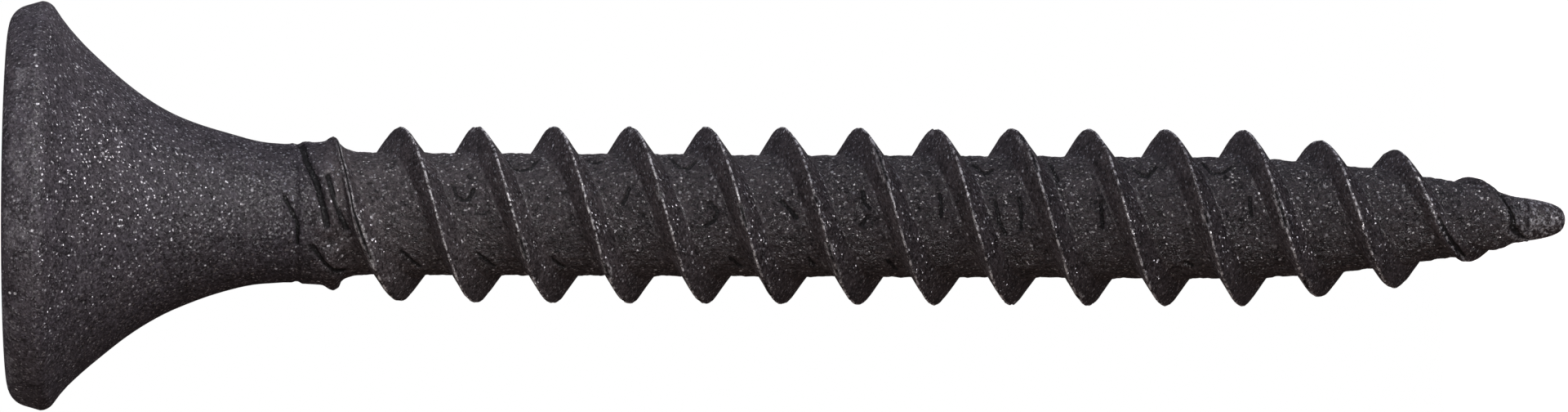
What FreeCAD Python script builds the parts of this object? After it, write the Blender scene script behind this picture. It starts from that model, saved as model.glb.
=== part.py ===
"""Bugle-head wood screw, 3.5 x 30 nominal, with a fine twin-start thread and a No. 2 cross recess.

One piece of steel wire: cold-headed, then thread-rolled. Millimetres, +Z up. The screw's axis is Z, the
flat top of the head lies on Z = 0 with its centre at the origin, and the point reaches down to
Z = -OVERALL_LENGTH. Places along the axis are given as depths under the top of the head.
"""

import FreeCAD, Part
import math
import os

Vector = FreeCAD.Vector
ORIGIN = Vector(0, 0, 0)
AXIS = Vector(0, 0, 1)

# Overall
OVERALL_LENGTH = 30.0

# Head: flat top, rounded shoulder, slightly tapered rim, then a bugle-shaped flare that runs tangent
# into the neck
HEAD_DIAMETER = 7.90
TOP_FACE_DIAMETER = 6.90
SHOULDER_DIAMETER = 7.68
SHOULDER_DEPTH = 0.26
RIM_DEPTH = 0.66
FLARE_ANGLE = 45.0
BUGLE_RADIUS = 5.25
NECK_DIAMETER = 2.68

# Thread: two starts, right-hand, rolled
STARTS = 2
PITCH = 1.473
LEAD = STARTS * PITCH
MAJOR_DIAMETER = 3.40
ROOT_DIAMETER = 2.32
FULL_HEIGHT = (MAJOR_DIAMETER - ROOT_DIAMETER) / 2
FLANK_ANGLE = 33.0
CREST_LAND = 0.06
FIRST_FULL_CREST = 7.54

# The threaded surface is a net of COLUMNS poles round the axis. Its rows step down the axis by one
# lead in COLUMNS rows, so that every crest line runs through poles.
COLUMNS = 72
ROW_STEP = LEAD / COLUMNS
ROWS_ABOVE_FIRST_CREST = 50
SHANK_ROWS = 590
SHANK_TOP = FIRST_FULL_CREST - ROWS_ABOVE_FIRST_CREST * ROW_STEP
SHANK_FACES = 8
NOSE_TOP = SHANK_TOP + SHANK_ROWS * ROW_STEP
# what the net's curvature takes off a crest
CREST_ALLOWANCE = 0.03

# Root: the thread rolls lift a collar on the neck before they press the root down. The point
# tapers on an arc of TAPER_RADIUS to a short cone with a rounded nose.
COLLAR_DIAMETER = 2.78
TAPER_TOP = 23.6
TAPER_RADIUS = 21.0
TAPER_END = 28.9
NOSE_TOP_DIAMETER = 0.62
ROOT_STEPS = (
    (5.75, NECK_DIAMETER / 2),
    (5.95, COLLAR_DIAMETER / 2),
    (6.35, COLLAR_DIAMETER / 2),
    (6.55, ROOT_DIAMETER / 2),
)

# Ridge height over the root: it rises out of the collar and sinks into the point
RIDGE_STEPS = (
    (5.60, -0.05),
    (6.20, 0.08),
    (6.60, 0.38),
    (FIRST_FULL_CREST, 0.52),
    (9.00, FULL_HEIGHT),
    (TAPER_TOP, FULL_HEIGHT),
    (26.80, 0.43),
    (28.20, 0.12),
    (29.00, -0.10),
)

# Cross recess, No. 2
RECESS_WIDTH = 4.80
RECESS_FOOT_WIDTH = 2.29
RECESS_FLANK_ANGLE = 26.5
WING_FOOT_WIDTH = 0.70
WING_DRAFT = 5.75
WEB_FOOT_WIDTH = 1.47
WEB_DRAFT = 14.0
RECESS_POINT_RADIUS = 0.70
RECESS_POINT_DEPTH = 0.50
RECESS_POINT_FLAT = 0.24
# how far the cutting shapes run past the faces they meet
OVERRUN = 0.02

SEWING_TOLERANCE = 1e-4


def tangent(degrees):
    return math.tan(math.radians(degrees))


def between(steps, depth):
    """The value at a depth, on straight lines between (depth, value) steps."""
    if depth <= steps[0][0]:
        return steps[0][1]
    for (upper, high), (lower, low) in zip(steps, steps[1:]):
        if depth <= lower:
            return high + (depth - upper) / (lower - upper) * (low - high)
    return steps[-1][1]


def outline_point(radius, depth):
    """A point of the turned outline, in the XZ plane."""
    return Vector(radius, 0, -depth)


def turned(edges):
    """The faces that an open outline sweeps in one turn about the axis."""
    return Part.Wire(edges).revolve(ORIGIN, AXIS, 360).Faces


# ---- head ----


def flare_edges():
    """A straight cone under the rim, then an arc tangent to it and to the neck."""
    head_radius = HEAD_DIAMETER / 2
    neck_radius = NECK_DIAMETER / 2

    def on_arc(degrees):
        turn = math.radians(degrees)
        radius = neck_radius + BUGLE_RADIUS * (1 - math.cos(turn))
        return outline_point(radius, neck_top - BUGLE_RADIUS * math.sin(turn))

    flare = math.radians(FLARE_ANGLE)
    arc_top_radius = neck_radius + BUGLE_RADIUS * (1 - math.cos(flare))
    arc_top = RIM_DEPTH + (head_radius - arc_top_radius) / math.tan(flare)
    neck_top = arc_top + BUGLE_RADIUS * math.sin(flare)
    rim = outline_point(head_radius, RIM_DEPTH)
    cone = Part.makeLine(rim, on_arc(FLARE_ANGLE))
    arc = Part.Arc(on_arc(FLARE_ANGLE), on_arc(FLARE_ANGLE / 2), on_arc(0)).toShape()
    neck = Part.makeLine(on_arc(0), outline_point(neck_radius, SHANK_TOP))
    return [cone, arc, neck]


def head_faces():
    top_radius = TOP_FACE_DIAMETER / 2
    across = SHOULDER_DIAMETER / 2 - top_radius
    # the shoulder is an arc tangent to the top
    bend = (across**2 + SHOULDER_DEPTH**2) / (2 * SHOULDER_DEPTH)
    turn = math.asin(across / bend)

    def on_shoulder(angle):
        return outline_point(top_radius + bend * math.sin(angle), bend * (1 - math.cos(angle)))

    top = Part.makeLine(outline_point(0, 0), on_shoulder(0))
    shoulder = Part.Arc(on_shoulder(0), on_shoulder(turn / 2), on_shoulder(turn)).toShape()
    rim = Part.makeLine(on_shoulder(turn), outline_point(HEAD_DIAMETER / 2, RIM_DEPTH))
    return turned([top, shoulder, rim, *flare_edges()])


# ---- threaded shank ----


def root_radius(depth):
    """Radius of the surface between the ridges."""
    if depth <= TAPER_TOP:
        return between(ROOT_STEPS, depth)
    run = min(depth, TAPER_END) - TAPER_TOP
    drop = TAPER_RADIUS - math.sqrt(TAPER_RADIUS**2 - run**2)
    radius = ROOT_DIAMETER / 2 - drop
    if depth > TAPER_END:
        share = (depth - TAPER_END) / (NOSE_TOP - TAPER_END)
        radius += share * (NOSE_TOP_DIAMETER / 2 - radius)
    return radius


def shank_radius(depth, angle):
    """Radius of the threaded surface. The crests rise by one lead in a turn, so the hand is right."""
    along = depth + LEAD * angle / (2 * math.pi) - FIRST_FULL_CREST
    from_crest = abs((along + PITCH / 2) % PITCH - PITCH / 2)
    fall = max(0.0, from_crest - CREST_LAND / 2) / tangent(FLANK_ANGLE)
    ridge = between(RIDGE_STEPS, depth) + CREST_ALLOWANCE - fall
    return root_radius(depth) + max(0.0, ridge)


def shank_net():
    """Poles of the threaded surface, column by column."""
    step = 2 * math.pi / COLUMNS
    # a cubic ring lies this much inside its poles
    ring_shrink = (2 + math.cos(step)) / 3
    poles = []
    for column in range(COLUMNS):
        angle = column * step
        out = Vector(math.cos(angle), math.sin(angle), 0)
        depths = [SHANK_TOP + row * ROW_STEP for row in range(SHANK_ROWS + 1)]
        poles.append(
            [out * (shank_radius(d, angle) / ring_shrink) - AXIS * d for d in depths]
        )
    return poles


def shank_faces():
    """The threaded surface, cut across the axis into SHANK_FACES faces that meet smoothly."""
    degree = 3
    spans = SHANK_ROWS + 1 - degree
    round_knots = [i / COLUMNS for i in range(COLUMNS + 1)]
    down_knots = [i / spans for i in range(spans + 1)]
    ends = [degree + 1]
    surface = Part.BSplineSurface()
    surface.buildFromPolesMultsKnots(
        shank_net(),
        [1] * (COLUMNS + 1),
        ends + [1] * (spans - 1) + ends,
        round_knots,
        down_knots,
        True,
        False,
        degree,
        degree,
    )
    surface.setUNotPeriodic()
    faces = []
    for k in range(SHANK_FACES):
        band = surface.copy()
        upper = down_knots[k * spans // SHANK_FACES]
        lower = down_knots[(k + 1) * spans // SHANK_FACES]
        band.segment(0, 1, upper, lower)
        faces.append(band.toShape())
    return faces


def nose_faces():
    """The rounded end of the point: a spherical cap as wide as the net's last row."""
    radius = NOSE_TOP_DIAMETER / 2
    height = OVERALL_LENGTH - NOSE_TOP
    ball_radius = (radius**2 + height**2) / (2 * height)
    ball_depth = OVERALL_LENGTH - ball_radius
    cap_angle = math.atan2(radius, NOSE_TOP - ball_depth)

    def on_ball(angle):
        return outline_point(
            ball_radius * math.sin(angle), ball_depth + ball_radius * math.cos(angle)
        )

    return turned([Part.Arc(on_ball(cap_angle), on_ball(cap_angle / 2), on_ball(0)).toShape()])


# ---- cross recess ----


def cross_outline(tip_radius, wing_half, web_half, depth):
    """A cross of four wings with cut-off inner corners, as a closed wire at this depth."""
    corner = web_half * math.sqrt(2) - wing_half
    quarter = (
        (tip_radius, -wing_half),
        (tip_radius, wing_half),
        (corner, wing_half),
        (wing_half, corner),
    )
    points = []
    for k in range(4):
        turn = FreeCAD.Rotation(AXIS, 90 * k)
        points += [turn * Vector(x, y, -depth) for x, y in quarter]
    return Part.makePolygon(points + points[:1])


def recess():
    """The driver's space: a tapered cross with a blunt cone at its foot."""
    flank = tangent(RECESS_FLANK_ANGLE)
    foot_depth = (RECESS_WIDTH - RECESS_FOOT_WIDTH) / 2 / flank

    def at(depth):
        rise = foot_depth - depth
        return cross_outline(
            RECESS_FOOT_WIDTH / 2 + rise * flank,
            WING_FOOT_WIDTH / 2 + rise * tangent(WING_DRAFT),
            WEB_FOOT_WIDTH / 2 + rise * tangent(WEB_DRAFT),
            depth,
        )

    wings = Part.makeLoft([at(-OVERRUN), at(foot_depth)], True, True)
    point_top = AXIS * (OVERRUN - foot_depth)
    point = Part.makeCone(
        RECESS_POINT_RADIUS, RECESS_POINT_FLAT / 2, RECESS_POINT_DEPTH, point_top, -AXIS
    )
    return wings.fuse(point)


def wood_screw():
    skin = Part.Compound(head_faces() + shank_faces() + nose_faces())
    skin.sewShape(SEWING_TOLERANCE)
    return Part.makeSolid(skin.Shells[0]).cut(recess())


def main():
    os.makedirs("parts", exist_ok=True)
    screw = wood_screw()
    print("valid", screw.isValid(), "solids", len(screw.Solids), "faces", len(screw.Faces))
    print("volume mm3", round(screw.Volume, 2), screw.BoundBox)
    screw.exportStep("parts/wood_screw.step")


main()
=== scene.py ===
"""Looks of the bugle-head wood screw: the rolled black steel, its worn crests, and a pale studio.

The screw is one closed mesh that stands for the CAD node. Sizes are in millimetres, in the CAD frame
(axis on Z, flat top of the head at Z = 0, point downwards), and become metres when the mesh is made.
Places along the axis are depths under the top of the head; angles run about +Z from +X.
"""

import math
import random

import bpy
import numpy as np
from mathutils import Matrix, Vector, noise


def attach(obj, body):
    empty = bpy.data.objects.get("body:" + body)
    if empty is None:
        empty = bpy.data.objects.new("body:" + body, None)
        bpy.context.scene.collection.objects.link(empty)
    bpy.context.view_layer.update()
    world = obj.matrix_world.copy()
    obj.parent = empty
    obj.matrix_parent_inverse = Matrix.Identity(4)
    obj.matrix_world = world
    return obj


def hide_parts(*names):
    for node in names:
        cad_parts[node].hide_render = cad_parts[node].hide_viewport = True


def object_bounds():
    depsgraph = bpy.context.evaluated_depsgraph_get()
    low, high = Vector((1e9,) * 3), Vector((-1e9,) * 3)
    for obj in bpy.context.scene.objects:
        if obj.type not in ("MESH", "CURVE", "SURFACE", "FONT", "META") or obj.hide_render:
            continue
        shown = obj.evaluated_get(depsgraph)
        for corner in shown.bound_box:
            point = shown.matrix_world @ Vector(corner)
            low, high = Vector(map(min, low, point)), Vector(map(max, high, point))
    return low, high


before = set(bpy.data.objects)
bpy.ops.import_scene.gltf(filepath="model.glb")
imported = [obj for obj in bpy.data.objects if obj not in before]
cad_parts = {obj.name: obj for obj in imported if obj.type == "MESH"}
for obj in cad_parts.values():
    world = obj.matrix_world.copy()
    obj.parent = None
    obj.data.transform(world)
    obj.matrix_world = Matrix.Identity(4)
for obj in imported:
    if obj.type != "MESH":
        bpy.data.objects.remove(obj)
cad_low, cad_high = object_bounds()

MM = 0.001
LENGTH = (cad_high.z - cad_low.z) / MM

# ---- sizes ----

STARTS = 2
PITCH = 1.473
LEAD = STARTS * PITCH
FIRST_CREST = 7.54
# how steeply a ridge falls off towards the head and towards the point, and the hollow at its foot
HEAD_FLANK_SLOPE = 1 / math.tan(math.radians(27.5))
TIP_FLANK_SLOPE = 1 / math.tan(math.radians(32.5))
ROOT_FILLET = 0.06
# a thin line of squeezed metal runs this far from each crest line, on the side towards the head
SQUEEZED_LINE = 0.37
CREST_RADIUS = 1.7

RIM_RADIUS = 3.943
RIM_DEPTH = 0.62
EDGE_BEND = 0.30
EDGE_BEND_ANGLE = 52
TOP_RADIUS = 3.45
# where the flat ends, a little inside the CAD's edge
TOP_EDGE_RADIUS = TOP_RADIUS - 0.005
SHOULDER_RADIUS = 3.84
SHOULDER_DEPTH = 0.26
NECK_RADIUS = 1.335
# the flare's outline, as (depth, radius)
FLARE = (
    (0.856, 3.828),
    (1.05, 3.56),
    (1.3, 3.287),
    (1.8, 2.828),
    (2.4, 2.345),
    (3.0, 1.972),
    (3.6, 1.713),
    (4.2, 1.523),
    (4.8, 1.379),
    (5.3, NECK_RADIUS),
)

# how far the shank's axis lies to +X of the head's, as (depth, shift)
AXIS_SHIFT = ((0.9, 0), (1.5, -0.05), (2.2, -0.08), (3.2, -0.108), (4.4, -0.10), (5.0, -0.12))

# radius between the ridges down to the point's taper, as (depth, radius), then on the point
TAPER_TOP = 23.6
BODY = (
    (5.30, NECK_RADIUS),
    (5.46, NECK_RADIUS),
    (5.56, 1.30),
    (5.66, 1.36),
    (6.00, 1.37),
    (6.12, 1.41),
    (6.30, 1.40),
    (6.48, 1.25),
    (6.65, 1.195),
    (7.00, 1.165),
    (TAPER_TOP, 1.16),
)
POINT = (
    (23.0, 1.16),
    (24.4, 1.132),
    (25.2, 1.07),
    (26.0, 0.99),
    (27.3, 0.80),
    (27.9, 0.71),
    (28.9, 0.47),
    (29.3, 0.403),
)
# height of the ridges over that radius, as (depth, height)
RIDGE_HEIGHTS = (
    (5.55, -0.15),
    (5.85, 0.0),
    (6.2, 0.1),
    (6.8, 0.38),
    (FIRST_CREST, 0.515),
    (9.0, 0.54),
    (23.8, 0.54),
    (25.2, 0.44),
    (26.7, 0.435),
    (27.4, 0.27),
    (28.15, 0.13),
    (28.9, 0.02),
    (29.2, -0.2),
)

# the cross recess, a No. 2 size: its depth, half widths at the foot, and how far its walls lean
RECESS_DEPTH = 2.517
RECESS_FOOT = {"tip": 1.145, "wing": 0.35, "web": 0.735}
RECESS_ANGLES = {"tip": 26.5, "wing": 5.75, "web": 14}
RECESS_LEAN = {name: math.tan(math.radians(angle)) for name, angle in RECESS_ANGLES.items()}
MOUTH_ROUNDING = 0.09
FOOT_ROUNDING = 0.08
# the blunt cone under its foot, as (radius, share of a full circle's roundness, distance below the foot)
RECESS_CONE = ((0.6, 0.6, 0), (0.5, 1, 0.08), (0.36, 1, 0.24), (0.22, 1, 0.42))
RECESS_CONE_DEPTH = 0.5

# the threaded part of the mesh
SHANK_TOP = 5.30
SHANK_END = 29.30
# the rounded nose below it, as (depth, share of the radius at SHANK_END)
NOSE = (
    (29.42, 0.955),
    (29.54, 0.90),
    (29.65, 0.835),
    (29.75, 0.755),
    (29.84, 0.66),
    (29.91, 0.55),
    (29.96, 0.40),
    (29.99, 0.20),
)

COLUMNS = 160
# rows of the mesh on each side of a crest line, as distances from it: dense on the crest, then even
CREST_ROWS = (0.012, 0.032, 0.06, 0.1)
ROW_STEPS = CREST_ROWS + tuple(0.15 + 0.053 * k for k in range(11))
# a row that comes within this share of a row step of the first or last ring joins it
ROW_CUT = 0.4

# ---- marks of the thread rolls ----

# Grooves and folds, as paths of (depth, bearing) points. Bearings are degrees about the axis from the
# side that faces -Y, positive towards +X.
COLLAR_GROOVE = ((5.62, 85), (5.75, 48), (5.96, 26), (6.12, 1), (6.17, -10))
COLLAR_CRACK = ((5.34, 14), (5.52, -1), (5.60, -8), (5.60, -17), (5.58, -26))
COLLAR_FOLDS = (
    ((6.17, 31), (6.33, 8), (6.54, -14)),
    ((5.88, -28), (6.12, -44), (6.48, -62)),
    ((5.62, 130), (5.70, 160), (5.66, 200), (5.72, 235)),
    ((5.98, 120), (6.10, 150), (6.05, 178)),
)
ROOT_FOLDS = (
    # crescents on the upper side
    ((8.60, 27), (8.64, 18), (8.76, 13), (8.90, 15), (8.98, 25)),
    ((9.58, 63), (9.68, 51), (9.88, 47), (10.08, 52), (10.18, 62)),
    ((11.13, 66), (11.22, 60), (11.34, 59), (11.46, 64)),
    ((12.72, 72), (12.92, 53), (13.10, 51), (13.24, 63)),
    ((18.57, 59), (18.82, 44), (18.95, 52)),
    ((20.05, 63), (20.20, 36)),
    ((21.64, 57), (21.80, 44), (21.94, 43), (22.10, 58)),
    ((22.99, 65), (23.17, 48), (23.38, 48), (23.53, 58)),
    # gouges and pits in the middle
    ((9.72, 8), (9.85, -1), (10.0, -9)),
    ((11.96, 26), (11.90, 16), (11.83, 10)),
    ((13.52, 12), (13.66, 5), (13.62, -5), (13.40, -11)),
    ((14.88, 14), (15.06, 6), (15.18, -2)),
    ((16.45, 26), (16.48, 13), (16.60, 7)),
    ((16.56, 0), (16.42, -9)),
    ((17.92, 23), (17.97, 10), (17.96, 0)),
    ((18.99, 16), (19.08, -6), (19.21, -17)),
    ((19.46, 19), (19.50, 4), (19.50, -12)),
    ((21.03, 14), (21.06, -10)),
    ((23.88, 20), (23.92, 2)),
    # slanting folds on the lower side
    ((7.58, -38), (7.95, -61)),
    ((9.07, -40), (9.38, -60)),
    ((10.45, -44), (10.70, -60)),
    ((13.92, -45), (14.11, -58)),
    ((15.42, -44), (15.50, -54)),
    ((16.93, -46), (17.12, -64)),
    ((22.66, -46), (22.81, -53)),
)
TIP_FOLDS = (
    ((27.45, 0), (27.60, -18), (27.80, -40), (27.92, -58)),
    ((28.72, 75), (28.84, 20), (28.90, -15), (29.20, -60)),
)
# lumps of squeezed-out metal and one dent, as (depth, bearing, size, height)
LUMPS = (
    (28.46, 88, 0.20, 0.13),
    (28.72, -85, 0.20, 0.06),
    (28.98, 12, 0.07, 0.035),
    (29.10, -8, 0.06, 0.03),
    (29.16, -30, 0.05, 0.025),
    (28.90, 30, 0.06, 0.025),
    (6.24, -24, 0.20, -0.11),
    (5.70, 20, 0.07, 0.012),
    (8.25, -4, 0.05, 0.03),
    (8.32, -9, 0.04, 0.03),
)


def steps(depth, *pairs):
    """Values on straight lines between (depth, value) pairs."""
    return np.interp(depth, [p[0] for p in pairs], [p[1] for p in pairs])


def curve(depth, *pairs):
    """Values on a smooth curve through (depth, value) pairs."""
    depths = np.array([p[0] for p in pairs])
    values = np.array([p[1] for p in pairs])
    slopes = np.gradient(values, depths)
    depth = np.clip(depth, depths[0], depths[-1])
    k = np.clip(np.searchsorted(depths, depth) - 1, 0, len(depths) - 2)
    span = depths[k + 1] - depths[k]
    t = (depth - depths[k]) / span
    start, end = slopes[k] * span, slopes[k + 1] * span
    rise = values[k + 1] - values[k]
    return values[k] + t * start + t**2 * (3 * rise - 2 * start - end) + t**3 * (start + end - 2 * rise)


def fade(x, low, high):
    """0 below low, 1 above high, smooth between."""
    t = np.clip((x - low) / (high - low), 0, 1)
    return t * t * (3 - 2 * t)


def lumps(points, size, seed, octaves=1):
    """Smooth noise, about -1 to 1, whose lumps are `size` across."""
    places = points / size + seed * 13.7
    return np.array([noise.fractal(Vector(p), 1.0, 2.0, octaves) for p in places])


# ---- shape ----


def axis_shift(depth):
    """The head was struck a little off the wire's axis, so the shank lies to -X of the head."""
    return curve(depth, *AXIS_SHIFT)


def root_radius(depth):
    return np.where(depth < TAPER_TOP, steps(depth, *BODY), curve(depth, *POINT))


def crest_shift(depth):
    """How far the crest lines stray along the axis where the thread runs out."""
    head_end = steps(depth, (5.6, 0.1), (6.1, 0.12), (6.8, -0.11), (7.6, 0))
    return head_end + steps(depth, (20, 0), (22, 0.02), (25, 0.06), (27, 0.06), (28, 0.1))


def thread_profile(depth, angle):
    """(radius, signed distance from the nearest crest line, height of the ridge)."""
    along = depth + LEAD * angle / (2 * math.pi) - FIRST_CREST
    off = (along + PITCH / 2) % PITCH - PITCH / 2
    # a place half-way between two crests belongs to the upper one
    off = np.where(np.abs(off + PITCH / 2) < 1e-6, PITCH / 2, off)
    # how blunt the crest is
    bend = steps(depth, (7.0, 0.045), (8.5, 0.018), (24.0, 0.018), (26.0, 0.08), (28.5, 0.16))
    slope = np.where(off < 0, HEAD_FLANK_SLOPE, TIP_FLANK_SLOPE)
    fall = (np.sqrt(off**2 + bend**2) - bend) * slope
    ridge = steps(depth, *RIDGE_HEIGHTS) - fall
    rise = (ridge + np.sqrt(ridge**2 + ROOT_FILLET**2)) / 2
    return root_radius(depth) + rise * fade(depth, 5.35, 5.75), off, ridge


def path_distance(depth, bearing, radius, path):
    """Distance over the unrolled surface from a path of (depth, bearing) points."""
    nearest = np.full(len(depth), np.inf)
    for (depth_0, bearing_0), (depth_1, bearing_1) in zip(path, path[1:]):
        along = depth_1 - depth_0
        around = math.radians(bearing_1 - bearing_0) * radius
        down = depth - depth_0
        turn = np.radians((bearing - bearing_0 + 180) % 360 - 180) * radius
        share = (down * along + turn * around) / (along**2 + around**2)
        share = np.clip(share, 0, 1)
        gap = np.hypot(down - share * along, turn - share * around)
        nearest = np.minimum(nearest, gap)
    return nearest


def groove(gap, half_width, deep):
    """A groove with raised lips along both sides, at a distance from its middle."""
    cut = np.exp(-((gap / half_width) ** 2))
    lip = np.exp(-(((gap - 2 * half_width) / half_width) ** 2))
    return deep * (0.3 * lip - cut), cut


def hidden_folds():
    """Folds like the others, in the roots on the side away from -Y."""
    draw = random.Random(7)
    folds = []
    for k in range(34):
        depth = 8.2 + 0.45 * k
        bearing = draw.uniform(95, 265)
        if draw.random() < 0.5:
            reach = draw.uniform(0.10, 0.22)
            fold = [
                (depth - reach, bearing + 10),
                (depth - 0.4 * reach, bearing),
                (depth + 0.5 * reach, bearing - 1),
                (depth + reach, bearing + 9),
            ]
        else:
            fold = [(depth, bearing), (depth + draw.uniform(0.02, 0.25), bearing - 15)]
        folds.append(fold)
    return folds


def add_folds(depth, angle, radius, rooted):
    """(outward, fold) that the grooves and folds give each place."""
    bearing = np.degrees(angle) + 90
    outward, fold = np.zeros(len(depth)), np.zeros(len(depth))

    def carve(path, half_width, deep, mask):
        nonlocal outward, fold
        push, cut = groove(path_distance(depth, bearing, radius, path), half_width, deep)
        outward += push * mask
        fold = np.maximum(fold, cut * mask)

    everywhere = np.ones(len(depth))
    carve(COLLAR_GROOVE, 0.07, 0.08, everywhere)
    carve(COLLAR_CRACK, 0.045, 0.06, everywhere)
    for path in (*COLLAR_FOLDS, *TIP_FOLDS):
        carve(path, 0.055, 0.055, everywhere)
    for path in (*ROOT_FOLDS, *hidden_folds()):
        carve(path, 0.042, 0.045, rooted)
    for lump_depth, lump_bearing, size, height in LUMPS:
        spot = ((lump_depth, lump_bearing), (lump_depth + 0.01, lump_bearing))
        gap = path_distance(depth, bearing, radius, spot)
        swell = np.exp(-((gap / size) ** 2))
        outward += height * swell
        if height < 0:
            fold = np.maximum(fold, 0.55 * swell)
    return outward, fold


def shank_surface(depth, angle):
    """Points of the threaded part, with their marks of pale wear and painted highlight, of roots and of
    folds.
    """
    radius, off, ridge = thread_profile(depth, angle)
    turn = np.stack([np.cos(angle), np.sin(angle)], 1)
    places = np.concatenate([turn * radius[:, None], -depth[:, None]], 1)
    # every place on a ridge shares the noise of the crest beside it
    crests = np.concatenate([turn * CREST_RADIUS, (off - depth)[:, None]], 1)
    near = np.abs(off)
    formed = fade(depth, 5.9, 6.5) * (1 - fade(depth, 27.3, 28.4))
    rooted = fade(-ridge, -0.10, 0.04) * fade(depth, 6.4, 6.9)
    crested = (1 - fade(near, 0.08, 0.24)) * formed

    # crests: uneven height, burrs, and in places an open seam between two edges
    uneven = 0.012 * lumps(crests, 0.9, 1) + 0.010 * lumps(crests, 0.16, 2, 2)
    sway = 0.015 * lumps(crests, 0.6, 3) + 0.008 * lumps(crests, 0.2, 4)
    open_seam = 0.8 * fade(lumps(crests, 0.7, 5), 0.30, 0.42)
    open_seam = np.maximum(1 - fade(depth, 6.9, 7.3), open_seam) * formed
    seam = 1 - fade(near, 0.010, 0.034)
    edges = np.exp(-(((near - 0.052) / 0.022) ** 2))
    outward = uneven * crested + open_seam * (0.012 * edges - 0.035 * seam)
    # the pale crest line marks worn metal and a painted highlight along the crest
    plain_edge = 1 - fade(near, 0.010, 0.036)
    wear = formed * ((1 - open_seam) * plain_edge + open_seam * edges)

    # the line of squeezed metal, at the foot of the flank that faces the head
    foot = np.exp(-(((off + SQUEEZED_LINE) / 0.025) ** 2)) * formed
    foot *= fade(lumps(crests, 0.35, 6), -0.05, 0.25)
    outward += 0.014 * foot
    wear = np.maximum(wear, 0.45 * foot)

    # the roots are rough, and the rest of the surface a little
    rough = 0.022 * lumps(places, 0.30, 7, 2) + 0.018 * lumps(places, 0.13, 8, 2)
    outward += rough * (0.15 + 0.85 * rooted) * fade(depth, 5.35, 5.6)
    carved, fold = add_folds(depth, angle, radius, rooted)
    outward += carved
    fold = np.maximum(fold, open_seam * seam)

    radius = radius + outward
    shift = crest_shift(depth) * fade(ridge, -0.25, 0.05) + sway * crested
    x = radius * turn[:, 0] + axis_shift(depth)
    return np.stack([x, radius * turn[:, 1], -(depth + shift)], 1), wear, rooted, fold


# ---- mesh ----


class Skin:
    """Vertices on rings round the axis, with what the material needs to know at each."""

    def __init__(self):
        self.points, self.marks, self.faces, self.count = [], [], [], 0

    def add(self, points, wear=0.0, root=0.0, fold=0.0):
        n = len(points)
        self.points.append(points)
        marks = [np.broadcast_to(m, n) for m in (wear, root, fold)]
        self.marks.append(np.stack(marks, 1))
        self.count += n
        return np.arange(self.count - n, self.count)

    def bridge(self, upper, lower):
        """Quads between two rings of COLUMNS vertices."""
        for a, b, c, d in zip(upper, lower, np.roll(lower, -1), np.roll(upper, -1)):
            self.faces.append((a, b, c, d))


ANGLES = np.arange(COLUMNS) * 2 * math.pi / COLUMNS


def ring(radius, depth):
    """Points of one ring, on the strayed axis."""
    x = radius * np.cos(ANGLES) + axis_shift(depth)
    return np.stack([x, radius * np.sin(ANGLES), np.full(COLUMNS, -depth)], 1)


def on_arc(centre, radius, degrees):
    """An (x, y) point on a circle."""
    a = math.radians(degrees)
    return centre[0] + radius * math.cos(a), centre[1] + radius * math.sin(a)


def recess_outline(tip, wing, web, depth, corner_radius=0.1, inner_radius=0.14):
    """One ring on the wall of the cross recess: wings along X and Y, rounded corners."""
    corner = web * math.sqrt(2) - wing
    reach = inner_radius * math.tan(math.radians(22.5))
    outer = (tip - corner_radius, wing - corner_radius)
    inner = (corner + reach, wing + inner_radius)
    # from the middle of a wing's end, round its corner and along its side, to the middle of the web
    eighth = [(tip, wing * k / 3 * (1 - corner_radius / wing)) for k in range(3)]
    eighth += [on_arc(outer, corner_radius, 90 * k / 4) for k in range(4)]
    start, end = outer[0], inner[0]
    eighth += [(start + (end - start) * k / 7, wing) for k in range(7)]
    eighth += [on_arc(inner, inner_radius, -90 - 45 * k / 3) for k in range(3)]
    x, y = on_arc(inner, inner_radius, -135)
    middle = web / math.sqrt(2)
    eighth += [(x + (middle - x) * k / 3, y + (middle - y) * k / 3) for k in range(3)]
    quarter = eighth + [(middle, middle)] + [(y, x) for x, y in reversed(eighth[1:])]
    points = []
    for c, s in ((1, 0), (0, 1), (-1, 0), (0, -1)):
        points += [(c * x - s * y, s * x + c * y, -depth) for x, y in quarter]
    return np.array(points)


def recess_wall(depth, spread=0.0):
    """The ring of the recess at this depth, moved outwards by `spread`."""
    rise = RECESS_DEPTH - depth
    sizes = {name: RECESS_FOOT[name] + rise * RECESS_LEAN[name] + spread for name in RECESS_FOOT}
    return recess_outline(depth=depth, **sizes)


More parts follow.
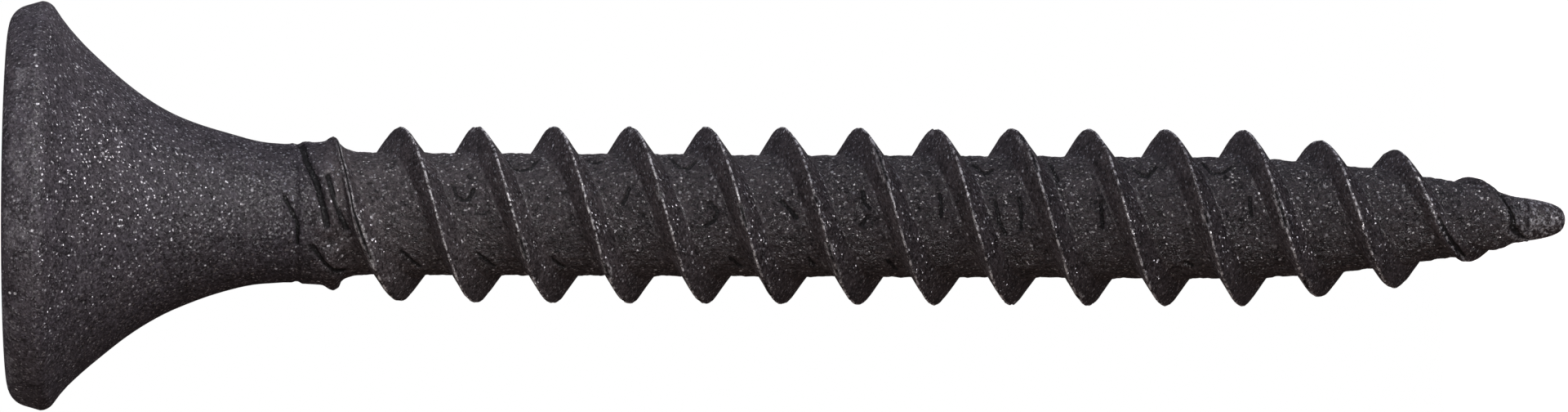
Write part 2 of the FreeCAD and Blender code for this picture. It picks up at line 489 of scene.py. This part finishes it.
def add_recess(skin):
    """The driver's recess, from its rolled mouth down to the blunt cone at its foot.

    Returns the ids and the points of the mouth's ring.
    """
    rings = []
    # the mouth's rounded edge is a little worn
    for k in range(6):
        a = math.radians(90 * k / 5)
        spread = MOUTH_ROUNDING * (1 - math.sin(a))
        depth = MOUTH_ROUNDING * (1 - math.cos(a))
        rings.append((recess_wall(depth, spread), 0.55 * (1 - k / 5)))
    for depth in np.linspace(MOUTH_ROUNDING + 0.12, RECESS_DEPTH - 0.1, 14):
        rings.append((recess_wall(depth), 0.0))
    for k in range(1, 5):
        a = math.radians(90 * k / 4)
        tuck = FOOT_ROUNDING * (1 - math.cos(a))
        depth = RECESS_DEPTH - FOOT_ROUNDING + FOOT_ROUNDING * math.sin(a)
        rings.append((recess_wall(depth, -tuck), 0.0))
    across, up = rings[-1][0][:, 0], rings[-1][0][:, 1]
    bearing, reach = np.arctan2(up, across), np.hypot(across, up)
    for radius, share, below in RECESS_CONE:
        r = reach * (1 - share) + radius * share
        z = np.full(COLUMNS, -(RECESS_DEPTH + below))
        rings.append((np.stack([r * np.cos(bearing), r * np.sin(bearing), z], 1), 0.0))
    ids = [skin.add(points, wear=wear) for points, wear in rings]
    for upper, lower in zip(ids, ids[1:]):
        skin.bridge(lower, upper)
    middle = skin.add(np.array([[0.0, 0.0, -(RECESS_DEPTH + RECESS_CONE_DEPTH)]]))[0]
    for a, b in zip(ids[-1], np.roll(ids[-1], -1)):
        skin.faces.append((middle, a, b))
    return ids[0], rings[0][0]


def head_outline():
    """(radius, depth, wear and painted highlight) of the rings from the flat top down to the threaded
    part.
    """
    outline = []
    bend = ((SHOULDER_RADIUS - TOP_RADIUS) ** 2 + SHOULDER_DEPTH**2) / (2 * SHOULDER_DEPTH)
    turn = math.asin((SHOULDER_RADIUS - TOP_RADIUS) / bend)
    for k in range(9):
        a = turn * k / 8
        outline.append((TOP_EDGE_RADIUS + bend * math.sin(a), bend * (1 - math.cos(a)), 0))
    for k in range(1, 6):
        t = k / 6
        radius = SHOULDER_RADIUS + t * (RIM_RADIUS - SHOULDER_RADIUS)
        outline.append((radius, SHOULDER_DEPTH + t * (RIM_DEPTH - SHOULDER_DEPTH), 0))
    # a soft bend round the rim's lower edge, which is rubbed where it starts
    for k in range(10):
        a = math.radians(EDGE_BEND_ANGLE * k / 9)
        radius = RIM_RADIUS - EDGE_BEND * (1 - math.cos(a))
        wear = (0.25, 0.1)[k] if k < 2 else 0
        outline.append((radius, RIM_DEPTH + EDGE_BEND * math.sin(a), wear))
    last_depth = outline[-1][1]
    for k in range(1, 31):
        depth = last_depth + (SHANK_TOP - last_depth) * k / 31
        outline.append((curve(depth, *FLARE), depth, 0))
    return outline


def add_shank(skin, last_head_ring):
    """The threaded part. Its rows follow the crest lines, and end at a ring above and one below.

    Returns the lower ring's ids and its radii.
    """
    offsets = [0.0, *ROW_STEPS, PITCH / 2, *[PITCH - s for s in reversed(ROW_STEPS)]]
    per_pitch = len(offsets)
    first = math.floor((SHANK_TOP - FIRST_CREST) / PITCH)
    last = math.ceil((SHANK_END + LEAD - FIRST_CREST) / PITCH)
    # where each row starts, at angle 0; it climbs by one lead in a turn
    starts = np.array([FIRST_CREST + k * PITCH + o for k in range(first, last) for o in offsets])
    gap = np.gradient(starts)
    rows = len(starts)
    turn = STARTS * per_pitch

    ids = np.zeros((rows, COLUMNS + 1), int)
    top_radius = thread_profile(np.full(COLUMNS, SHANK_TOP), ANGLES)[0]
    end_radius = thread_profile(np.full(COLUMNS, SHANK_END), ANGLES)[0]
    top = skin.add(ring(top_radius, SHANK_TOP))
    end = skin.add(ring(end_radius, SHANK_END))
    depth = starts[:, None] - LEAD * ANGLES / (2 * math.pi)
    above = depth < SHANK_TOP + ROW_CUT * gap[:, None]
    below = depth > SHANK_END - ROW_CUT * gap[:, None]
    free = ~(above | below)
    columns = np.broadcast_to(np.arange(COLUMNS), depth.shape)
    places = ids[:, :COLUMNS]
    places[above] = top[columns[above]]
    places[below] = end[columns[below]]
    places[free] = skin.add(*shank_surface(depth[free], ANGLES[columns[free]]))
    # after one turn a row runs on as the one that started a lead higher
    ids[:turn, COLUMNS] = top[0]
    ids[turn:, COLUMNS] = ids[: rows - turn, 0]
    for j in range(COLUMNS):
        for quad in zip(ids[:-1, j], ids[1:, j], ids[1:, j + 1], ids[:-1, j + 1]):
            corners = tuple(dict.fromkeys(quad))
            if len(corners) > 2:
                skin.faces.append(corners)
    skin.bridge(last_head_ring, top)
    return end, end_radius


def add_nose(skin, end, end_radius):
    """The rounded end of the point."""
    upper = end
    for depth, share in NOSE:
        lower = skin.add(ring(end_radius * share, depth))
        skin.bridge(upper, lower)
        upper = lower
    tip = skin.add(np.array([[axis_shift(LENGTH), 0.0, -LENGTH]]))[0]
    for a, b in zip(upper, np.roll(upper, -1)):
        skin.faces.append((a, tip, b))


def make_mesh():
    skin = Skin()
    upper, mouth = add_recess(skin)
    # the flat top, from the recess out to the shoulder
    edge = ring(TOP_EDGE_RADIUS, 0)
    for share in (0.25, 0.5, 0.75):
        lower = skin.add(mouth * (1 - share) + edge * share)
        skin.bridge(upper, lower)
        upper = lower
    for radius, depth, wear in head_outline():
        lower = skin.add(ring(radius, depth), wear=wear)
        skin.bridge(upper, lower)
        upper = lower
    end, end_radius = add_shank(skin, upper)
    add_nose(skin, end, end_radius)
    return skin


def make_screw():
    skin = make_mesh()
    points = np.concatenate(skin.points)
    marks = np.concatenate(skin.marks)
    mesh = bpy.data.meshes.new("wood_screw_skin")
    mesh.from_pydata((points * MM).tolist(), [], [tuple(map(int, f)) for f in skin.faces])
    mesh.validate()
    for k, name in enumerate(("wear", "root", "fold")):
        layer = mesh.attributes.new(name, "FLOAT", "POINT")
        layer.data.foreach_set("value", marks[:, k].astype(np.float32))
    mesh.shade_smooth()
    screw = bpy.data.objects.new("wood_screw_skin", mesh)
    bpy.context.scene.collection.objects.link(screw)
    return screw


# ---- material ----

PER_MM = 1 / MM


class Nodes:
    """Short names for the nodes of one material or world."""

    def __init__(self, owner):
        owner.use_nodes = True
        self.tree = owner.node_tree
        self.tree.nodes.clear()
        self.place = self.make("ShaderNodeTexCoord").outputs["Object"]

    def make(self, kind, inputs=None, **settings):
        node = self.tree.nodes.new(kind)
        for name, value in settings.items():
            setattr(node, name, value)
        for name, value in (inputs or {}).items():
            self.plug(node.inputs[name], value)
        return node

    def plug(self, socket, value):
        if isinstance(value, bpy.types.NodeSocket):
            self.tree.links.new(value, socket)
        else:
            socket.default_value = value

    def math(self, operation, a, b=0.0):
        return self.make("ShaderNodeMath", {0: a, 1: b}, operation=operation).outputs[0]

    def noise(self, size, detail=2.0, rough=0.5, place=None):
        """Noise whose lumps are `size` mm across, 0 to 1."""
        inputs = {"Vector": place or self.place, "Scale": PER_MM / size}
        inputs |= {"Detail": detail, "Roughness": rough}
        return self.make("ShaderNodeTexNoise", inputs).outputs["Fac"]

    def band(self, value, low, high):
        """0 where value is under low, 1 over high."""
        inputs = {"Value": value, "From Min": low, "From Max": high}
        node = self.make("ShaderNodeMapRange", inputs, interpolation_type="SMOOTHSTEP")
        return node.outputs["Result"]

    def strip(self, value, middle, half_width):
        """1 where value is at the middle, 0 beyond half_width from it."""
        off = self.math("ABSOLUTE", self.math("SUBTRACT", value, middle))
        return self.band(off, half_width, 0.0)

    def mix(self, share, a, b):
        node = self.make("ShaderNodeMix", data_type="RGBA")
        for socket, value in ((node.inputs[0], share), (node.inputs[6], a), (node.inputs[7], b)):
            self.plug(socket, value)
        return node.outputs[2]

    def scaled(self, colour, factor):
        """The colour times a number."""
        inputs = {"Vector": colour, "Scale": factor}
        return self.make("ShaderNodeVectorMath", inputs, operation="SCALE").outputs[0]

    def facets(self, size, tilt):
        """The normal, tipped at random from crystal to crystal, and a random value for each."""
        cells = self.make("ShaderNodeTexVoronoi", {"Vector": self.place, "Scale": PER_MM / size})
        lean = {0: cells.outputs["Color"], 1: (0.5, 0.5, 0.5)}
        lean = self.make("ShaderNodeVectorMath", lean, operation="SUBTRACT").outputs[0]
        upright = self.make("ShaderNodeNewGeometry").outputs["Normal"]
        tipped = {0: upright, 1: self.scaled(lean, tilt)}
        tipped = self.make("ShaderNodeVectorMath", tipped, operation="ADD").outputs[0]
        normal = self.make("ShaderNodeVectorMath", {0: tipped}, operation="NORMALIZE").outputs[0]
        pick = self.make("ShaderNodeSeparateColor", {"Color": cells.outputs["Color"]})
        return normal, pick.outputs["Blue"]

    def mark(self, name):
        return self.make("ShaderNodeAttribute", attribute_name=name).outputs["Fac"]

    def squeezed(self, x, y, z):
        """The place, with each axis scaled, for grain that runs one way."""
        inputs = {"Vector": self.place, "Scale": (x, y, z)}
        return self.make("ShaderNodeMapping", inputs).outputs["Vector"]

    def sparks(self, spacing, radius, share):
        """Round specks: about `share` of the cells of a net of `spacing` hold one of this radius."""
        inputs = {"Vector": self.place, "Scale": PER_MM / spacing}
        cells = self.make("ShaderNodeTexVoronoi", inputs)
        near = self.band(cells.outputs["Distance"], radius / spacing * 1.25, radius / spacing * 0.75)
        pick = self.make("ShaderNodeSeparateColor", {"Color": cells.outputs["Color"]})
        chosen = self.math("LESS_THAN", pick.outputs["Red"], share)
        return self.math("MULTIPLY", near, chosen), pick.outputs["Green"]


DRAWN_CRUST = (0.053, 0.0475, 0.058, 1)
DRAWN_CLOUD = (0.060, 0.052, 0.056, 1)
ROLLED_CRUST = (0.080, 0.067, 0.063, 1)
BLOOM = (0.21, 0.20, 0.21, 1)
# pale specks: painted glints off the crystals, and worn speckles on the point
PAINTED_GLINT_AND_WORN_SPECK = (0.85, 0.84, 0.86, 1)
GLINT = (0.44, 0.43, 0.45, 1)
ROOT_GLINT = (0.55, 0.53, 0.53, 1)
# painted shade, near black, in the folds and pits
PAINTED_FOLD_SHADE = (0.005, 0.005, 0.005, 1)
# near white: worn bare steel, and a painted highlight on the crests
BARE_STEEL_AND_HIGHLIGHT = (0.95, 0.93, 0.92, 1)
# depths of the rings that the heading die rubbed
RUBBED_RINGS = (1.49, 2.19)


def crust_colour(n, depth):
    """The crust's colour: slow clouds, blotches and a salt-and-pepper grain."""
    cloud = n.noise(1.1, 3)
    blotch = n.noise(0.35, 3, 0.6)
    grain = n.noise(0.07, 3, 0.8)
    colour = n.mix(cloud, DRAWN_CRUST, DRAWN_CLOUD)
    lift = n.math("ADD", n.band(grain, 0.36, 0.64), n.math("MULTIPLY", blotch, 1.6))
    lift = n.math("MAXIMUM", n.math("SUBTRACT", lift, 0.35), 0.3)
    # the upset head and the rolled thread are a little paler than the drawn wire between them
    on_head = n.band(depth, -3.6 * MM, -2.2 * MM)
    on_thread = n.band(depth, -5.5 * MM, -6.5 * MM)
    paler = n.math("ADD", n.math("MULTIPLY", on_head, 0.17), n.math("MULTIPLY", on_thread, 0.29))
    lift = n.math("MULTIPLY", lift, n.math("ADD", 1.0, paler))
    colour = n.mix(n.math("MULTIPLY", on_thread, 0.5), colour, ROLLED_CRUST)
    return n.scaled(colour, lift)


def bloom_share(n, depth):
    """Where a pale bloom lies: in patches on the rim, and faintly on two rubbed rings of the flare."""
    on_rim = n.band(depth, -0.62 * MM, -0.5 * MM)
    bloom = n.math("MULTIPLY", n.band(n.noise(0.45, 3, 0.6), 0.52, 0.68), on_rim)
    bloom = n.math("MULTIPLY", bloom, n.band(n.noise(0.05, 2), 0.35, 0.65))
    rings = [n.strip(depth, -ring_depth * MM, 0.03 * MM) for ring_depth in RUBBED_RINGS]
    rubbed = n.math("MULTIPLY", n.math("MAXIMUM", *rings), n.band(n.noise(0.7, 3, 0.7), 0.50, 0.62))
    return n.math("MULTIPLY", n.math("MAXIMUM", bloom, n.math("MULTIPLY", rubbed, 0.5)), 0.8)


def painted_glint_and_wear_share(n, depth):
    """Where pale specks are painted: fine and large specks as painted glints off the crystals, and more
    of them on the point's worn, thin crust.
    """
    fine, tone = n.sparks(0.085, 0.022, 0.25)
    large, shade = n.sparks(0.24, 0.03, 0.35)
    spark = n.math("MULTIPLY", fine, n.math("MULTIPLY", tone, 0.45))
    spark = n.math("MAXIMUM", spark, n.math("MULTIPLY", large, n.band(shade, -0.1, 1.0)))
    on_point = n.band(depth, -28.4 * MM, -29.5 * MM)
    thin = n.math("MULTIPLY", n.band(n.noise(0.09, 3, 0.8), 0.49, 0.62), on_point)
    return n.math("MAXIMUM", spark, n.math("MULTIPLY", thin, 0.75))


def painted_shade_share(n, root, fold):
    """Where shade is painted near black: inside the folds, and in pits that cluster in the roots, where
    no light gets in.
    """
    ragged = n.noise(0.06, 3, 0.7)
    black = n.band(n.math("ADD", fold, n.math("MULTIPLY", ragged, 0.5)), 0.62, 0.95)
    pits = n.band(n.noise(0.085, 3, 0.7), 0.57, 0.66)
    patches = n.band(n.noise(0.5, 2), 0.42, 0.58)
    pits = n.math("MULTIPLY", pits, n.math("MULTIPLY", patches, root))
    return n.math("MAXIMUM", black, pits)


def relief(n, root, black, normal):
    """The normal of the crust: crystals, dents, fine marks round the axis, and the sunk folds."""
    turned = n.noise(0.05, 2, 0.5, n.squeezed(0.06, 0.06, 1))
    crystals = n.noise(0.045, 3, 0.75)
    dents = n.noise(0.18, 3, 0.65)
    crystals_high = n.math("ADD", n.math("MULTIPLY", root, 1.2), 1.0)
    dents_high = n.math("ADD", n.math("MULTIPLY", root, 6.5), 0.8)
    height = n.math("MULTIPLY", crystals, crystals_high)
    height = n.math("ADD", height, n.math("MULTIPLY", dents, dents_high))
    height = n.math("ADD", height, n.math("MULTIPLY", turned, 0.25))
    height = n.math("SUBTRACT", height, n.math("MULTIPLY", black, 1.5))
    inputs = {"Height": height, "Distance": 0.018 * MM, "Normal": normal}
    return n.make("ShaderNodeBump", inputs).outputs["Normal"]


def make_steel():
    """Black phosphate on steel: a matt crust of tiny crystals, worn through on the crests, with a
    painted highlight along them.
    """
    material = bpy.data.materials.new("black_phosphated_steel")
    n = Nodes(material)
    wear, root, fold = n.mark("wear"), n.mark("root"), n.mark("fold")
    depth = n.make("ShaderNodeSeparateXYZ", {"Vector": n.place}).outputs["Z"]
    colour = crust_colour(n, depth)
    colour = n.mix(bloom_share(n, depth), colour, BLOOM)
    # pale specks: painted glints off the crystals, and worn speckles on the point
    colour = n.mix(painted_glint_and_wear_share(n, depth), colour, PAINTED_GLINT_AND_WORN_SPECK)

    # every crystal has its own tilt, less of it in the roots; some are glossy, a few shine like metal
    tilt = n.math("SUBTRACT", 0.75, n.math("MULTIPLY", root, 0.5))
    normal, pick = n.facets(0.032, tilt)
    glint = n.band(pick, 0.95, 0.965)
    colour = n.mix(glint, colour, n.mix(root, GLINT, ROOT_GLINT))
    # painted shade, near black, in the folds and in pits in the roots
    black = painted_shade_share(n, root, fold)
    colour = n.mix(n.math("MULTIPLY", black, 0.92), colour, PAINTED_FOLD_SHADE)

    # bare steel on the crests, in broken dashes, painted pale enough to be a painted highlight as well
    breaks = n.band(n.noise(0.10, 4, 0.75), 0.47, 0.56)
    bare_and_highlight = n.math("MULTIPLY", n.band(wear, 0.1, 0.9), breaks)
    colour = n.mix(bare_and_highlight, colour, BARE_STEEL_AND_HIGHLIGHT)

    rough = n.math("ADD", 0.16, n.math("MULTIPLY", n.band(pick, 0.2, 0.35), 0.38))
    rough = n.math("SUBTRACT", rough, n.math("MULTIPLY", glint, 0.22))
    rough = n.math("ADD", rough, n.math("MULTIPLY", black, 0.2))
    metal = n.math("MAXIMUM", n.math("MULTIPLY", bare_and_highlight, 0.35), n.math("MULTIPLY", glint, 0.7))
    normal = relief(n, root, black, normal)

    # a weak coat of high index shines almost alike from every side, as a porous crust does
    inputs = {
        "Base Color": colour,
        "Metallic": metal,
        "Roughness": rough,
        "Normal": normal,
        "Specular IOR Level": 0.0,
        "Coat Weight": n.math("ADD", 0.10, n.math("MULTIPLY", root, 0.06)),
        "Coat IOR": 4.0,
        "Coat Roughness": rough,
        "Coat Normal": normal,
    }
    shader = n.make("ShaderNodeBsdfPrincipled", inputs)
    n.make("ShaderNodeOutputMaterial", {"Surface": shader.outputs["BSDF"]})
    return material


# ---- studio ----

# depth of the point that the picture and the lights are centred on
AXIS_MIDDLE = 14.94 * MM
CAMERA_DISTANCE = 330 * MM
# how far the camera looks past the axis, to its +X side
CAMERA_OFFSET = 0.063 * MM
# the photo's screw lies 0.3 degrees off level, as a slope
CAMERA_ROLL = 0.0052
SENSOR_WIDTH = 36
FOCAL_LENGTH = 393


def make_camera():
    """A long lens that looks along +Y, with the head to the left and +X up."""
    data = bpy.data.cameras.new("camera")
    data.sensor_width = SENSOR_WIDTH
    data.lens = FOCAL_LENGTH
    data.clip_start, data.clip_end = 0.01, 10
    camera = bpy.data.objects.new("camera", data)
    right = Vector((CAMERA_ROLL, 0, -1)).normalized()
    back = Vector((0, -1, 0))
    turned = Matrix((right, back.cross(right), back)).transposed()
    place = Matrix.Translation((CAMERA_OFFSET, -CAMERA_DISTANCE, -AXIS_MIDDLE))
    camera.matrix_world = place @ turned.to_4x4()
    bpy.context.scene.collection.objects.link(camera)
    bpy.context.scene.camera = camera


def make_light(name, place, size, power, colour):
    """A soft box that faces the middle of the screw. Its place, from that middle, and size are in mm."""
    data = bpy.data.lights.new(name, "AREA")
    data.shape = "DISK"
    data.size = size * MM
    data.energy = power
    data.color = colour
    light = bpy.data.objects.new(name, data)
    middle = Vector((0, 0, -AXIS_MIDDLE))
    spot = Vector(place) * MM + middle
    light.location = spot
    light.rotation_mode = "QUATERNION"
    light.rotation_quaternion = (middle - spot).to_track_quat("-Z", "Y")
    light.visible_camera = False
    bpy.context.scene.collection.objects.link(light)
    return light


def make_lights():
    make_light("key", (170, -325, -215), 280, 3.5, (1.0, 0.98, 0.99))
    make_light("fill", (-40, -380, 60), 300, 0.16, (1.0, 0.95, 0.92))
    # lights the far side without a glare along the outline
    back = make_light("back", (110, 380, -60), 300, 2.0, (1.0, 0.985, 0.97))
    back.visible_glossy = False
    top = make_light("top", (-70, -60, 380), 260, 0.3, (1.0, 0.96, 0.92))
    top.visible_glossy = False


def make_world():
    """White to the eye, but only a dim sky to the screw, so that its underside stays dark."""
    world = bpy.data.worlds.new("studio")
    n = Nodes(world)
    place = n.make("ShaderNodeTexCoord").outputs["Generated"]
    side = n.make("ShaderNodeSeparateXYZ", {"Vector": place}).outputs["X"]
    inputs = {"Value": side, "From Min": -0.6, "From Max": 1.0}
    share = n.make("ShaderNodeMapRange", inputs).outputs["Result"]
    sky = n.mix(share, (0.09, 0.065, 0.055, 1), (0.34, 0.35, 0.42, 1))
    seen = n.make("ShaderNodeLightPath").outputs["Is Camera Ray"]
    colour = n.mix(seen, sky, (1, 1, 1, 1))
    background = n.make("ShaderNodeBackground", {"Color": colour})
    n.make("ShaderNodeOutputWorld", {"Surface": background.outputs["Background"]})
    bpy.context.scene.world = world
    bpy.context.scene.view_settings.view_transform = "Standard"


def make_floor():
    """A pale round slab just under the point."""
    material = bpy.data.materials.new("pale_floor")
    n = Nodes(material)
    tone = n.mix(n.noise(2.0, 3), (0.86, 0.86, 0.86, 1), (0.9, 0.9, 0.9, 1))
    inputs = {"Base Color": tone, "Roughness": 0.7}
    # a glow of its own keeps it as pale as the world behind it
    inputs |= {"Emission Color": (1, 0.99, 0.98, 1), "Emission Strength": 0.9}
    shader = n.make("ShaderNodeBsdfPrincipled", inputs)
    n.make("ShaderNodeOutputMaterial", {"Surface": shader.outputs["BSDF"]})
    count, radius = 96, 60 * MM
    levels = -(LENGTH + 0.02) * MM, -(LENGTH + 1.0) * MM
    turns = np.arange(count) * 2 * math.pi / count
    points = [(radius * math.cos(a), radius * math.sin(a), z) for z in levels for a in turns]
    upper, lower = range(count), range(count, 2 * count)
    sides = [(k, k + count, (k + 1) % count + count, (k + 1) % count) for k in upper]
    mesh = bpy.data.meshes.new("floor")
    mesh.from_pydata(points, [], [tuple(upper), tuple(reversed(lower)), *sides])
    mesh.materials.append(material)
    floor = bpy.data.objects.new("floor", mesh)
    # the dark screw isn't lit from under its point
    floor.visible_diffuse = floor.visible_glossy = False
    bpy.context.scene.collection.objects.link(floor)


make_camera()
make_lights()
make_world()
make_floor()
steel = make_steel()
screw = make_screw()
screw.data.materials.append(steel)
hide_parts("wood_screw")
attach(screw, "root")
